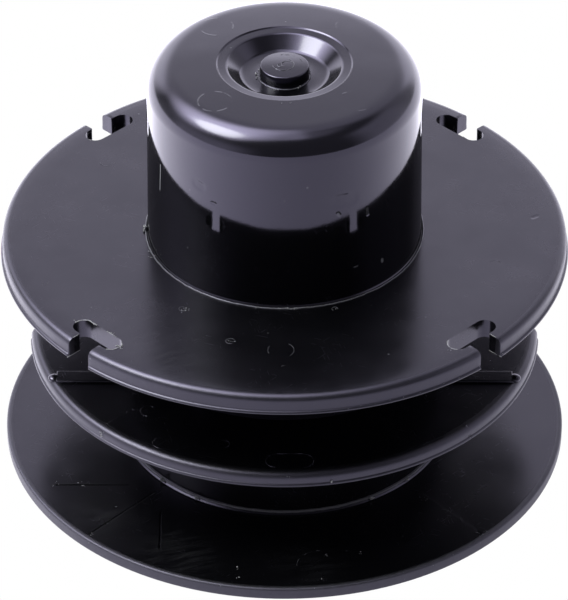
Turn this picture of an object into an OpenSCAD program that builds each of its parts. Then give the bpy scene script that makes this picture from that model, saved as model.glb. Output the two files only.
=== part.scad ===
// String reel of a bump-feed grass trimmer, standing knob up on its lower flange.
// Two winding channels lie between three flanges on one hollow core, and the
// bump knob on top holds the spring that keeps the reel pressed on its arbor.

/* [Flanges] */
// Diameter of the lower flange, the widest one
lower_d = 90.3; // [84:0.1:110]
// Thickness of the lower flange
lower_t = 2.1; // [1.6:0.1:4]
// Diameter of the divider flange, over its parting lip
divider_d = 81.5; // [74:0.5:84]
// Thickness of the divider flange
divider_t = 2.4; // [2:0.1:4]
// Diameter of the upper flange, over its parting lip
upper_d = 89.8; // [84:0.2:110]
// Thickness of the upper flange
upper_t = 3.2; // [2.6:0.1:5]
// How far the parting lip stands out of the divider's rim
divider_lip = 0.2; // [0.1:0.05:0.6]
// How far the parting lip stands out of the upper flange's rim
upper_lip = 0.3; // [0.1:0.05:0.6]
// Height of the parting lips
lip_h = 0.6; // [0.3:0.1:0.9]
// Radius of the rounded upper edge of the divider's rim
divider_round = 1.1; // [0.4:0.1:1.1]
// Radius of the rounded upper edge of the upper flange's rim
upper_round = 1; // [0.4:0.1:1.6]
// Radius of the lower flange's small edge rounds
edge_round = 0.4; // [0.2:0.1:0.7]

/* [Winding core] */
// Outer diameter of the core that the line is wound on
core_d = 52.2; // [48:0.2:58]
// Wall of the core
core_wall = 2.2; // [1.6:0.1:3]
// Clear height of the lower winding channel
lower_channel_h = 16.5; // [12:0.5:24]
// Clear height of the upper winding channel
upper_channel_h = 14.7; // [11:0.1:24]
// Fillet where the core meets a flange
core_fillet = 0.6; // [0.3:0.1:1.5]

/* [Line slots] */
// Length over the round ends of a line slot in the upper flange
slot_l = 9.4; // [8:0.2:12]
// Width of a line slot
slot_w = 3.3; // [2.6:0.1:4]
// Distance from the rim to the middle of a line slot
slot_inset = 4.4; // [4:0.1:6]
// Width of the way in from the rim to a line slot
entry_w = 4.3; // [3:0.1:5]
// Radius of the corners where a way in meets the rim
entry_round = 0.6; // [0.2:0.1:0.9]
// Width of the line notches at the two sides of the divider
notch_w = 4.4; // [4.3:0.1:6]
// Depth of a divider notch from the rim
notch_depth = 7; // [5:0.5:10]
// Radius of the corners where a divider notch meets the rim
notch_round = 1.2; // [0.5:0.1:2]
// Distance from the middle to each low rib on the divider
rib_offset = 15.7; // [12:0.1:18]
// Width of a low rib on the divider
rib_w = 2.8; // [1.5:0.1:4]
// Height of a low rib
rib_h = 0.4; // [0.3:0.1:1]
// Distance from a rib's outer end to the rim
rib_inset = 0.7; // [0.6:0.1:3]
// Diameter of the round bead at a rib's outer end
bead_d = 1.6; // [1:0.1:2]
// Height of a bead
bead_h = 0.5; // [0.3:0.1:0.7]
// Distance from a rib's outer end out to the middle of its bead
bead_out = 0.3; // [0:0.1:0.4]

/* [Bump knob] */
// Diameter of the knob at its foot
knob_d = 43.2; // [40:0.1:46]
// Height of the knob above the upper flange, at the inner edge of its crown
knob_h = 30.95; // [29:0.05:38]
// Draft of the knob's outer wall in degrees
knob_draft = 0.6; // [0.3:0.05:2]
// Radius of the knob's rounded crown edge
crown_round = 4.4; // [2:0.1:5]
// How far the domed crown falls from its inner edge to its outer edge
crown_fall = 0.4; // [0:0.05:1]
// Wall between the crown and the spring chamber
crown_wall = 2.2; // [1.6:0.1:3]
// Diameter of the spring chamber inside the knob
chamber_d = 37.6; // [36.6:0.1:38]
// Radius of the round at the chamber's upper corner
chamber_round = 1.5; // [0.5:0.1:2]
// Fillet around the knob's foot
foot_fillet = 0.35; // [0.2:0.05:0.8]
// Diameter of the shallow ring around the dish
dish_ring_d = 20.7; // [19.9:0.1:22]
// Depth of the ring below the crown
dish_ring_depth = 0.2; // [0.1:0.05:0.5]
// Diameter of the dish's edge
dish_d = 18; // [16.4:0.2:18.6]
// Diameter of the dish's floor
dish_floor_d = 13.3; // [11:0.1:15.6]
// Depth of the dish's floor below the crown
dish_depth = 2.35; // [2.1:0.05:4]
// Radius of the rounds at the top and the foot of the dish's slope
dish_round = 0.8; // [0.3:0.1:1.5]
// Diameter of the gate stud in the dish
stud_d = 7.6; // [6:0.1:9]
// Height of the gate stud above the dish's floor
stud_h = 2; // [1:0.05:2.1]
// Small round on the stud's edge
stud_round = 0.25; // [0.1:0.05:0.5]

/* [Arbor and spring] */
// Diameter of the hole through the upper flange for the trimmer's arbor
arbor_d = 35; // [30:0.5:35]
// How far a bump moves the reel along its arbor
bump_travel = 7; // [4:0.5:10]
// Thickness of the spring seat's flange
seat_t = 2.2; // [1.6:0.1:3]
// Radial clearance of the spring seat in its chamber
seat_gap = 0.3; // [0.2:0.05:0.4]
// Height of the spring seat over its collar
seat_h = 9; // [6:0.5:10]
// Outer diameter of the spring seat's collar
seat_collar_d = 25; // [22:0.5:25.5]
// Wall of the spring seat's collar
seat_collar_wall = 2; // [1.5:0.1:3]
// Outer diameter of the spring
spring_d = 30; // [29:0.5:32]
// Diameter of the spring's wire
wire_d = 1.6; // [1.2:0.1:1.8]
// Number of turns in the spring
turns = 6; // [5:1:7]
// Gap that the spring's ends keep to what they bear on
spring_seat_gap = 0.1; // [0.05:0.05:0.3]

/* [Index rings] */
// Number of lugs on each index ring
lug_count = 8; // [4:1:10]
// Height of an index ring
index_h = 6; // [4:0.5:8]
// Wall of an index ring behind its lugs
index_wall = 1.6; // [1:0.1:2.4]
// Diameter of the circle inside the lugs' tips
lug_tip_d = 39.2; // [36:0.2:41]
// Arc of a lug's tip in degrees
lug_tip_arc = 12; // [6:1:16]
// Arc of the ramp behind a lug's tip in degrees
lug_ramp_arc = 9; // [4:1:12]
// Height of the lower index ring above the reel's foot
lower_index_z = 2.5; // [0.5:0.5:4]
// Clear space between the two index rings
index_space = 7.5; // [7:0.5:10]
// Turn of the upper ring past the lower one, as a share of the step between lugs
index_stagger = 0.5; // [0.3:0.05:0.7]

/* [Hidden] */
$fn = 96;
plastic = [0.10, 0.10, 0.11];
acetal = [0.22, 0.22, 0.24];
steel = [0.62, 0.63, 0.65];

// A cut runs this far past the face it opens
past = 1;

// Levels, from the foot of the reel up to the crown
divider_z = lower_t + lower_channel_h;
upper_z = divider_z + divider_t + upper_channel_h;
knob_z = upper_z + upper_t;
crown_z = knob_z + knob_h;
ceiling_z = crown_z - crown_wall;
seat_top_z = knob_z + seat_t;
upper_index_z = lower_index_z + index_h + index_space;

// Radii
core_r = core_d / 2;
core_bore_r = core_r - core_wall;
knob_r = knob_d / 2;
chamber_r = chamber_d / 2;
arbor_r = arbor_d / 2;
crown_r = knob_r - (knob_h - crown_fall) * tan(knob_draft);
crown_inner_r = dish_ring_d / 2 + dish_ring_depth;
boss_r = dish_floor_d / 2 + crown_wall;
boss_z = crown_z - dish_depth - crown_wall;
seat_collar_r = seat_collar_d / 2;
coil_r = (spring_d - wire_d) / 2;
index_bore_r = core_bore_r - index_wall;

// Points on an arc about [x, y]
function arc(x, y, r, from, to, steps = 6) =
  [for (i = [0 : steps]) let (a = from + (to - from) * i / steps) [x + r * cos(a), y + r * sin(a)]];

// Points on a round of radius r in the corner at b, on the way from a to c
function rounded(a, b, c, r, steps = 6) =
  let (
    to_a = (a - b) / norm(a - b),
    to_c = (c - b) / norm(c - b),
    half = acos(to_a * to_c) / 2,
    middle = b + (to_a + to_c) * r / (norm(to_a + to_c) * sin(half)),
    first = b + to_a * r / tan(half) - middle,
    last = b + to_c * r / tan(half) - middle,
    sweep = 180 - 2 * half
  )
  [for (i = [0 : steps])
    middle + (first * sin(sweep * (1 - i / steps)) + last * sin(sweep * i / steps)) / sin(sweep)];

// A point at radius r and angle a
function polar(r, a) = [r * cos(a), r * sin(a)];

// ---- Flanges ----

// Section of a flange from a hole of radius r_in to a lipped rim of radius r_rim, standing on z = 0
module lipped_section(r_in, r_rim, t, lip, round_r) {
  r_face = r_rim - lip;
  polygon(concat(
    [[r_in, 0], [r_rim, 0], [r_rim, lip_h - lip / 2], [r_face, lip_h]],
    arc(r_face - round_r, t - round_r, round_r, 0, 90),
    [[r_in, t]]
  ));
}

// Section of the fillet that climbs the core from z = 0, or hangs from it with up = -1
module fillet_section(up) {
  c = core_r + core_fillet;
  polygon(concat(
    [[core_r, 0], [c, 0]],
    [for (p = arc(c, core_fillet, core_fillet, 270, 180, 4)) [p[0], up * p[1]]]
  ));
}

// What rounds the two corners where a cut of half width half_w, along +X, opens at the rim
module mouth_corners(rim_r, half_w, round_r) {
  corner = rim_r - round_r;
  for (side = [-1, 1])
    difference() {
      translate([corner, side * (half_w + round_r / 2) - round_r / 2])
        square([round_r + past, round_r]);
      translate([corner, side * (half_w + round_r)])
        circle(r = round_r);
    }
}

// Outline of one line slot, whose way in comes from the rim along +X
module line_slot_outline(rim_r) {
  middle_r = rim_r - slot_inset;
  half_run = (slot_l - slot_w) / 2;
  translate([middle_r - slot_w / 2, -half_run])
    square([slot_w, 2 * half_run]);
  for (side = [-1, 1])
    translate([middle_r, side * half_run])
      circle(d = slot_w);
  translate([middle_r, -entry_w / 2])
    square([slot_inset + past, entry_w]);
  mouth_corners(rim_r, entry_w / 2, entry_round);
}

// Outline of one divider notch, open to the rim along +X with rounded corners
module notch_outline(rim_r) {
  end_r = notch_w / 2;
  bottom = rim_r - notch_depth + end_r;
  translate([bottom, 0])
    circle(r = end_r);
  translate([bottom, -end_r])
    square([notch_depth + past, notch_w]);
  mouth_corners(rim_r, end_r, notch_round);
}

module lower_flange() {
  r = lower_d / 2;
  color(plastic) {
    rotate_extrude()
      polygon(concat(
        [[core_r, 0]],
        arc(r - edge_round, edge_round, edge_round, -90, 0, 4),
        arc(r - edge_round, lower_t - edge_round, edge_round, 0, 90, 4),
        [[core_r, lower_t]]
      ));
    translate([0, 0, lower_t])
      rotate_extrude()
        fillet_section(1);
  }
}

// The low ribs run out along X from the core, two on each side, and each ends in a bead
module divider_ribs() {
  end_r = divider_d / 2 - divider_lip - rib_inset;
  reach = sqrt(pow(end_r, 2) - pow(rib_offset + rib_w / 2, 2));
  bead_r = (pow(bead_d / 2, 2) + pow(bead_h, 2)) / (2 * bead_h);
  difference() {
    for (side = [-1, 1])
      translate([-reach, side * rib_offset - rib_w / 2, -rib_h])
        cube([2 * reach, rib_w, 2 * rib_h]);
    translate([0, 0, -rib_h - past])
      cylinder(r = core_r, h = 2 * (rib_h + past));
  }
  for (end = [-1, 1], side = [-1, 1])
    translate([end * (reach + bead_out), side * rib_offset, bead_h - bead_r])
      sphere(r = bead_r);
}

module divider_flange() {
  rim_r = divider_d / 2;
  color(plastic)
    translate([0, 0, divider_z]) {
      difference() {
        rotate_extrude()
          lipped_section(core_r, rim_r, divider_t, divider_lip, divider_round);
        for (turn = [0, 180])
          rotate([0, 0, turn])
            translate([0, 0, -past])
              linear_extrude(divider_t + 2 * past)
                notch_outline(rim_r);
      }
      translate([0, 0, divider_t])
        divider_ribs();
      translate([0, 0, divider_t])
        rotate_extrude()
          fillet_section(1);
      rotate_extrude()
        fillet_section(-1);
    }
}

module upper_flange() {
  rim_r = upper_d / 2;
  color(plastic)
    translate([0, 0, upper_z]) {
      difference() {
        rotate_extrude()
          lipped_section(arbor_r, rim_r, upper_t, upper_lip, upper_round);
        for (turn = [45 : 90 : 315])
          rotate([0, 0, turn])
            translate([0, 0, -past])
              linear_extrude(upper_t + 2 * past)
                line_slot_outline(rim_r);
      }
      rotate_extrude()
        fillet_section(-1);
    }
}

// ---- Core ----

module winding_core() {
  color(plastic)
    difference() {
      cylinder(r = core_r, h = upper_z);
      translate([0, 0, -past])
        cylinder(r = core_bore_r, h = upper_z + 2 * past);
    }
}

// ---- Index rings ----

// One ramped lug that points inwards from the ring's bore, with its steep face at angle 0
module lug_outline() {
  root_r = index_bore_r + index_wall / 2;
  tip_r = lug_tip_d / 2;
  polygon([
    polar(tip_r, 0),
    polar(root_r, 0),
    polar(root_r, lug_tip_arc + lug_ramp_arc),
    polar(index_bore_r, lug_tip_arc + lug_ramp_arc),
    polar(tip_r, lug_tip_arc),
    polar(tip_r, lug_tip_arc / 2)
  ]);
}

// A ring of lugs seated on the core's bore at height z, turned by a share of the pitch
module index_ring(z, pitch_share) {
  pitch = 360 / lug_count;
  color(plastic)
    translate([0, 0, z]) {
      difference() {
        cylinder(r = core_bore_r, h = index_h);
        translate([0, 0, -past])
          cylinder(r = index_bore_r, h = index_h + 2 * past);
      }
      for (i = [0 : lug_count - 1])
        rotate([0, 0, (i + pitch_share) * pitch])
          linear_extrude(index_h)
            lug_outline();
    }
}

module lower_index_ring() {
  index_ring(lower_index_z, 0);
}

module upper_index_ring() {
  index_ring(upper_index_z, index_stagger);
}

// ---- Knob ----

// A point of the crown's dome at radius r, over the knob's foot
function crown_point(r) =
  let (share = (pow(r, 2) - pow(crown_inner_r, 2)) / (pow(crown_r, 2) - pow(crown_inner_r, 2)))
  [r, knob_h - crown_fall * share];

// The knob's drafted wall, domed crown, dish and gate stud over the spring chamber
module bump_knob() {
  foot_r = knob_r + foot_fillet;
  dome_r = crown_r - crown_round;
  dome_steps = 6;
  floor_h = knob_h - dish_depth;
  stud_r = stud_d / 2;
  stud_top = floor_h + stud_h;
  boss_h = boss_z - knob_z;
  ceiling_h = ceiling_z - knob_z;
  wall_foot = [knob_r, foot_fillet];
  crown_edge = [crown_r, knob_h - crown_fall];
  ring_edge = [dish_ring_d / 2, knob_h - dish_ring_depth];
  slope_top = [dish_d / 2, knob_h - dish_ring_depth];
  slope_foot = [dish_floor_d / 2, floor_h];
  stud_foot = [stud_r, floor_h];
  color(plastic)
    translate([0, 0, knob_z])
      rotate_extrude()
        polygon(concat(
          [[chamber_r, 0]],
          arc(foot_r, foot_fillet, foot_fillet, 270, 180, 4),
          rounded(wall_foot, crown_edge, crown_point(dome_r), crown_round, 12),
          [for (i = [dome_steps : -1 : 0])
            crown_point(crown_inner_r + (dome_r - crown_inner_r) * i / dome_steps)],
          [ring_edge],
          rounded(ring_edge, slope_top, slope_foot, dish_round),
          rounded(slope_top, slope_foot, stud_foot, dish_round),
          [stud_foot],
          arc(stud_r - stud_round, stud_top - stud_round, stud_round, 0, 90, 3),
          [[0, stud_top], [0, boss_h], [boss_r, boss_h], [boss_r, ceiling_h]],
          arc(chamber_r - chamber_round, ceiling_h - chamber_round, chamber_round, 90, 0, 6)
        ));
}

// ---- Spring and its seat ----

// Flanged collar that the arbor pushes on: it slides up the chamber and centres the spring
module spring_seat() {
  seat_r = chamber_r - seat_gap;
  bore_r = seat_collar_r - seat_collar_wall;
  color(acetal)
    translate([0, 0, knob_z])
      rotate_extrude()
        polygon([
          [bore_r, 0],
          [seat_r, 0],
          [seat_r, seat_t],
          [seat_collar_r, seat_t],
          [seat_collar_r, seat_h],
          [bore_r, seat_h]
        ]);
}

wire_r = wire_d / 2;
ring_sides = 8;
rings_per_turn = 16;
ring_count = turns * rings_per_turn;
// The end turns lie close, a wire and this gap apart
end_turn_gap = 0.6;
end_pitch = wire_d + end_turn_gap;
spring_foot_z = seat_top_z + spring_seat_gap + wire_r;
spring_rise = ceiling_z - spring_seat_gap - wire_r - spring_foot_z;
open_pitch = (spring_rise - 2 * end_pitch) / (turns - 2);

// Height climbed after u turns: one close turn at each end and open turns between
function climb(u) =
  end_pitch * min(u, 1)
  + open_pitch * max(0, min(u, turns - 1) - 1)
  + end_pitch * max(0, u - (turns - 1));

// Middle of the wire after u turns
function coil_point(u) =
  [coil_r * cos(360 * u), coil_r * sin(360 * u), spring_foot_z + climb(u)];

// One ring of points around the wire after u turns
function wire_ring(u) =
  [for (k = [0 : ring_sides - 1])
    let (a = 360 * k / ring_sides, r = coil_r + wire_r * cos(a))
      [r * cos(360 * u), r * sin(360 * u), coil_point(u)[2] + wire_r * sin(a)]];

wire_points = [for (i = [0 : ring_count]) each wire_ring(i / rings_per_turn)];

// The two triangles between side k of ring i and the next ring
function wire_side(i, k) =
  let (
    a = i * ring_sides + k,
    b = i * ring_sides + (k + 1) % ring_sides
  )
  [[a, a + ring_sides, b], [b, a + ring_sides, b + ring_sides]];

wire_faces = concat(
  [for (i = [0 : ring_count - 1], k = [0 : ring_sides - 1]) each wire_side(i, k)],
  [for (k = [1 : ring_sides - 2]) [0, k, k + 1]],
  [for (k = [1 : ring_sides - 2])
    let (first = ring_count * ring_sides) [first, first + k + 1, first + k]]
);

// Least distance between the wire and the turn above it, measured on the points of its middle line
coil_gap = min([for (i = [0 : ring_count - rings_per_turn])
  norm(coil_point(i / rings_per_turn + 1) - coil_point(i / rings_per_turn))]) - wire_d;
echo(least_gap_between_spring_turns = coil_gap);

module spring() {
  color(steel)
    polyhedron(points = wire_points, faces = wire_faces);
}

lower_flange();
winding_core();
divider_flange();
upper_flange();
bump_knob();
lower_index_ring();
upper_index_ring();
spring_seat();
spring();
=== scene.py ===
# %% [markdown]
# # A string reel in moulded black plastic
# The object is the line reel of a bump-feed grass trimmer: three flanges on one
# hollow core, and a tall knob on top that is tapped on the ground. Everything is
# injection moulded in black, so almost all that the eye gets is reflection: broad
# grey sheens, thin bright lines along rounded edges, and small faults of the mould.
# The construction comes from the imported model. Here each piece that shows is made
# again with finer rounds, in the same place, and every surface gets its finish.

import math
import random

import bmesh
import bpy
from mathutils import Matrix, Vector, noise


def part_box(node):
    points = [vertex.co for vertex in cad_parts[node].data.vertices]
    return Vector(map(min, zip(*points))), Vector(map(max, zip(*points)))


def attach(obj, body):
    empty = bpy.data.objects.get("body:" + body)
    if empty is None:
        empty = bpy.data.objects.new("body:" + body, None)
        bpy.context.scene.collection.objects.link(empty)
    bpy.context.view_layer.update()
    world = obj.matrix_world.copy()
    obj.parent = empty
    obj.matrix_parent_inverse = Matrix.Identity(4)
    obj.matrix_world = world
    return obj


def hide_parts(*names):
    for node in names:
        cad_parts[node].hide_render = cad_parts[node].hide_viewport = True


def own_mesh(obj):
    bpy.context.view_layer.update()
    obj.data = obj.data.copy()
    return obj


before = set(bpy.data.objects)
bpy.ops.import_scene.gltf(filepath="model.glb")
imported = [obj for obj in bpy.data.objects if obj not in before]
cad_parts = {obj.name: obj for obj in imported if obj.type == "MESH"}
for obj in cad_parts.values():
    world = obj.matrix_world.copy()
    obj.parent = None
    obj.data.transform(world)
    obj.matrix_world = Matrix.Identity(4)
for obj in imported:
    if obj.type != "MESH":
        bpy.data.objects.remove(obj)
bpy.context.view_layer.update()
print("nodes:", sorted(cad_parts))

# %% [markdown]
# ## Sizes
# Blender works in metres and the reel was drawn in millimetres, so one factor turns
# the first into the second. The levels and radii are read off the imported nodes, so
# that a piece made here can't drift from the one that it stands for. Only what a
# box can't tell, such as the wall of a tube, is written down again.

# %% Levels and radii of the nodes
MM = 0.001


def low(node):
    """Height of a node's lowest point, in mm."""
    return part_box(node)[0].z / MM


def high(node):
    """Height of a node's highest point, in mm."""
    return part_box(node)[1].z / MM


def radius(node):
    """Largest radius of a node about the reel's axis, in mm."""
    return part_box(node)[1].y / MM


lower_r = radius("lower_flange")
divider_r = radius("divider_flange")
upper_r = radius("upper_flange")
core_r = radius("winding_core")
core_bore_r = radius("lower_index_ring")
foot_r = radius("bump_knob")
seat_r = radius("spring_seat")

upper_z = high("winding_core")
knob_z = low("bump_knob")
crown_z = high("bump_knob")
print("levels:", round(upper_z, 2), round(knob_z, 2), round(crown_z, 2))

# %% Sizes that the boxes don't tell
lower_t = 2.1
divider_z = 18.6
divider_t = 2.4
upper_lip = 0.3
divider_lip = 0.2
lip_h = 0.6
lip_round = 0.24
rim_round = 1.0
rim_fall = 0.12
core_fillet = 0.6
arbor_r = 17.5
knob_r = 21.6
knob_draft = math.radians(0.6)
crown_round = 4.4
crown_fall = 0.4
crown_inner_r = 10.55
chamber_r = 18.8
chamber_round = 1.5
crown_wall = 2.2
crown_r = knob_r - (crown_z - crown_fall - knob_z) * math.tan(knob_draft)
ring_z = crown_z - 0.2
dish_z = crown_z - 2.35
divider_top = divider_z + divider_t
stud_r = 3.8
stud_z = dish_z + 2.0
dish_floor_r = 6.65
diagonals = (45, 135, 225, 315)
slot_l = 9.4
slot_w = 3.3
slot_way_w = 4.3
slot_out = upper_r - 4.4


def crown_level(out):
    """Height of the domed crown at a distance from the axis, in mm."""
    share = (out ** 2 - crown_inner_r ** 2) / (crown_r ** 2 - crown_inner_r ** 2)
    return crown_z - crown_fall * share


def polar(out, turn_deg, z):
    """A point from its distance to the axis, angle and height, in mm."""
    turn = math.radians(turn_deg)
    return Vector((out * math.cos(turn), out * math.sin(turn), z))


def on_wall(turn_deg, z):
    """A point of the knob's drafted wall."""
    return polar(knob_r - (z - knob_z) * math.tan(knob_draft), turn_deg, z)

# %% [markdown]
# ## The camera
# The reel is seen from in front and above through a long lens, about three quarters
# of a metre away, so the discs stay close to true ellipses. A long lens is a narrow
# angle: the lens length is worked out from the height of the picture in pixels.

# %% Camera
picture_height = 600
focal_pixels = 4530.9
sensor = 36.0
view_distance = 724.6
view_tilt = math.radians(35.75)
aim = Vector((-0.08, 0, 24.81))

camera_data = bpy.data.cameras.new("camera")
camera_data.sensor_fit = "VERTICAL"
camera_data.sensor_height = sensor
camera_data.lens = focal_pixels * sensor / picture_height
camera_data.clip_start = 0.01
camera_data.clip_end = 100
camera = bpy.data.objects.new("camera", camera_data)
bpy.context.scene.collection.objects.link(camera)
backwards = Vector((0, -math.cos(view_tilt), math.sin(view_tilt)))
camera.location = (aim + backwards * view_distance) * MM
camera.rotation_euler = backwards.to_track_quat("Z", "Y").to_euler()
bpy.context.scene.camera = camera
print("lens:", round(camera_data.lens, 1), "mm")

# %% [markdown]
# ## A small kit for materials
# A material is a graph of nodes, and writing each link by hand hides the idea. The
# helper below adds a node, sets or links its inputs by name and gives the node back.
# An effect that several plastics share goes into a node group: a box with its own
# inputs and outputs, built once, and placed wherever it is needed.


# %% Helpers for node graphs
def add(tree, kind, settings=None, **inputs):
    """Add a node to a tree; inputs are values, or sockets to link, by their names."""
    made = tree.nodes.new("ShaderNode" + kind)
    for name, value in (settings or {}).items():
        setattr(made, name, value)
    for name, value in inputs.items():
        key = int(name[1:]) if name[0] == "i" and name[1:].isdigit() else name.replace("_", " ")
        if isinstance(value, bpy.types.NodeSocket):
            tree.links.new(value, made.inputs[key])
        else:
            made.inputs[key].default_value = value
    return made


def maths(tree, operation, a, b=0.0, clamp=False):
    """One step of arithmetic on two values or sockets."""
    return add(tree, "Math", {"operation": operation, "use_clamp": clamp}, i0=a, i1=b).outputs[0]


def plus(tree, base, mask, amount):
    """A value with so much of a mask added to it."""
    return maths(tree, "ADD", base, maths(tree, "MULTIPLY", mask, amount))


def vectors(tree, operation, a, b=(0, 0, 0)):
    """One step of arithmetic on two vectors; gives a vector, or a value if it measures one."""
    outputs = add(tree, "VectorMath", {"operation": operation}, i0=a, i1=b).outputs
    measures = operation in ("LENGTH", "DISTANCE", "DOT_PRODUCT")
    return outputs["Value" if measures else "Vector"]


def mix_value(tree, share, first, second):
    """The first value where share is 0, the second where it is 1."""
    return add(tree, "Mix", i0=share, i2=first, i3=second).outputs[0]


def mix_colour(tree, share, first, second):
    """The first colour where share is 0, the second where it is 1."""
    return add(tree, "Mix", {"data_type": "RGBA"}, i0=share, i6=first, i7=second).outputs[2]


def mapped(tree, place, **how):
    """A place that is turned, or stretched and then shifted."""
    return add(tree, "Mapping", Vector=place, **how).outputs[0]


def cloudy(tree, place, scale, detail, roughness=0.5, distortion=0.0):
    """A noise of the place, about 0.5 on average."""
    return add(
        tree, "TexNoise", Vector=place, Scale=scale, Detail=detail, Roughness=roughness,
        Distortion=distortion,
    ).outputs[0]


def ramp(tree, value, start, full):
    """0 where value is under start, 1 over full, straight between."""
    return add(tree, "MapRange", Value=value, From_Min=start, From_Max=full).outputs[0]


def smooth_band(tree, value, inner, outer):
    """1 where value is under inner, 0 over outer, smooth between."""
    return add(
        tree, "MapRange", {"interpolation_type": "SMOOTHSTEP"},
        Value=value, From_Min=inner, From_Max=outer, To_Min=1.0, To_Max=0.0,
    ).outputs[0]


def new_group(name, output, **inputs):
    """An empty node group; its inputs are Place and those given, and it has one output."""
    group = bpy.data.node_groups.new(name, "ShaderNodeTree")
    for title, value in {"Place": (0, 0, 0), **inputs}.items():
        kind = "NodeSocketVector" if isinstance(value, tuple) else "NodeSocketFloat"
        socket = group.interface.new_socket(title, in_out="INPUT", socket_type=kind)
        socket.default_value = value
    group.interface.new_socket(output, in_out="OUTPUT", socket_type="NodeSocketFloat")
    given = group.nodes.new("NodeGroupInput").outputs
    return group, given, group.nodes.new("NodeGroupOutput").inputs[output]


def place_group(tree, group, **inputs):
    """Place a node group in a material; gives its outputs."""
    return add(tree, "Group", {"node_tree": group}, **inputs).outputs


def new_material(name):
    """An empty material; gives it, its node tree and the socket that takes its surface."""
    material = bpy.data.materials.new(name)
    material.use_nodes = True
    tree = material.node_tree
    tree.nodes.clear()
    return material, tree, add(tree, "OutputMaterial").inputs["Surface"]


def place_in_mm(tree):
    """The place on a piece in mm, so that patterns have the sizes of the real marks."""
    return mapped(tree, add(tree, "TexCoord").outputs["Object"], Scale=(1 / MM,) * 3)


# %% [markdown]
# ## The skin of a moulded part
# Polished steel leaves plastic nearly flat, but never quite: the wall sinks a little
# as it cools, which bends long reflections, and a fine ripple breaks them up. Two
# noises of very different size, added as one height, do both.


# %% Node group: moulded skin
def make_skin():
    group, given, out = new_group("moulded skin", "Height", Sink=1.0, Ripple=1.0)
    slow = maths(group, "MULTIPLY", cloudy(group, given["Place"], 0.07, 2.0, 0.4), given["Sink"])
    fast = cloudy(group, given["Place"], 0.9, 4.0, 0.6)
    group.links.new(plus(group, slow, fast, given["Ripple"]), out)
    return group


skin = make_skin()
print("group:", skin.name)

# %% [markdown]
# ## Handling marks
# Parts fall into bins and rub on each other, which leaves short hairlines that run
# every way, and dust that shows well on black. A hairline is a noise stretched long
# in one direction and cut off near its top; a few turned copies give the directions.


# %% Node group: hairline scratches
def make_hairlines():
    group, given, out = new_group("hairlines", "Mask", Cut=0.7)
    full = maths(group, "ADD", given["Cut"], 0.05)
    total = None
    for turn, stretch in ((0.35, 7.0), (1.3, 9.0), (2.45, 8.0)):
        faced = mapped(group, given["Place"], Rotation=(0.2 * turn, 0.1, turn))
        drawn = mapped(group, faced, Scale=(0.32, stretch, 1.5), Location=(11.0 * turn, 3.0, 0))
        line = ramp(group, cloudy(group, drawn, 0.7, 1.0), given["Cut"], full)
        total = line if total is None else maths(group, "MAXIMUM", total, line)
    where = ramp(group, cloudy(group, given["Place"], 0.12, 2.0), 0.45, 0.6)
    group.links.new(maths(group, "MULTIPLY", total, where), out)
    return group


# %% Node group: specks of dust
def make_specks():
    group, given, out = new_group("specks", "Mask", Spacing=3.0, Size=0.12, Share=0.3)
    per_mm = maths(group, "DIVIDE", 1.0, given["Spacing"])
    cells = add(group, "TexVoronoi", Vector=given["Place"], Scale=per_mm)
    reach = maths(group, "MULTIPLY", cells.outputs["Distance"], given["Spacing"])
    spread = add(group, "SeparateColor", Color=cells.outputs["Color"]).outputs
    kept = maths(group, "LESS_THAN", spread[0], given["Share"])
    size = maths(group, "MULTIPLY", given["Size"], maths(group, "ADD", spread[1], 0.4))
    spot = maths(group, "LESS_THAN", reach, size)
    group.links.new(maths(group, "MULTIPLY", spot, kept), out)
    return group


hairlines = make_hairlines()
specks = make_specks()
print("groups:", hairlines.name, specks.name)

# %% [markdown]
# ## Marks that the mould leaves
# Pins push the part out of the mould and leave faint rings, and knocks and scratches
# run a short way over the skin. Both are drawn as a distance: from a circle, or from
# the nearest point of a straight run. A slow noise breaks the rings, as worn steel
# does. Where the melt slowed down it left cloudy streaks: a noise stretched one way.


# %% Node group: ring left by an ejector pin
def make_pin_ring():
    group, given, out = new_group("pin ring", "Mask", Centre=(0, 0, 0), Radius=2.5, Width=0.12, Broken=0.5)
    offset = vectors(group, "SUBTRACT", given["Place"], given["Centre"])
    reach = vectors(group, "LENGTH", offset)
    gap = maths(group, "ABSOLUTE", maths(group, "SUBTRACT", reach, given["Radius"]))
    ring = smooth_band(group, maths(group, "DIVIDE", gap, given["Width"]), 0.3, 1.0)
    worn = cloudy(group, given["Place"], 0.45, 2.0)
    left = ramp(group, worn, given["Broken"], maths(group, "ADD", given["Broken"], 0.08))
    group.links.new(maths(group, "MULTIPLY", ring, left), out)
    return group


# %% Node group: scratch, knock or seam along a straight run
def make_seam():
    group, given, out = new_group("straight mark", "Mask", Start=(0, 0, 0), End=(1, 0, 0), Width=0.12)
    along = vectors(group, "SUBTRACT", given["End"], given["Start"])
    offset = vectors(group, "SUBTRACT", given["Place"], given["Start"])
    share = maths(
        group, "DIVIDE", vectors(group, "DOT_PRODUCT", offset, along),
        vectors(group, "DOT_PRODUCT", along, along), clamp=True,
    )
    nearest = add(group, "VectorMath", {"operation": "SCALE"}, i0=along, Scale=share).outputs[0]
    gap = vectors(group, "DISTANCE", offset, nearest)
    group.links.new(smooth_band(group, maths(group, "DIVIDE", gap, given["Width"]), 0.3, 1.0), out)
    return group


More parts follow.
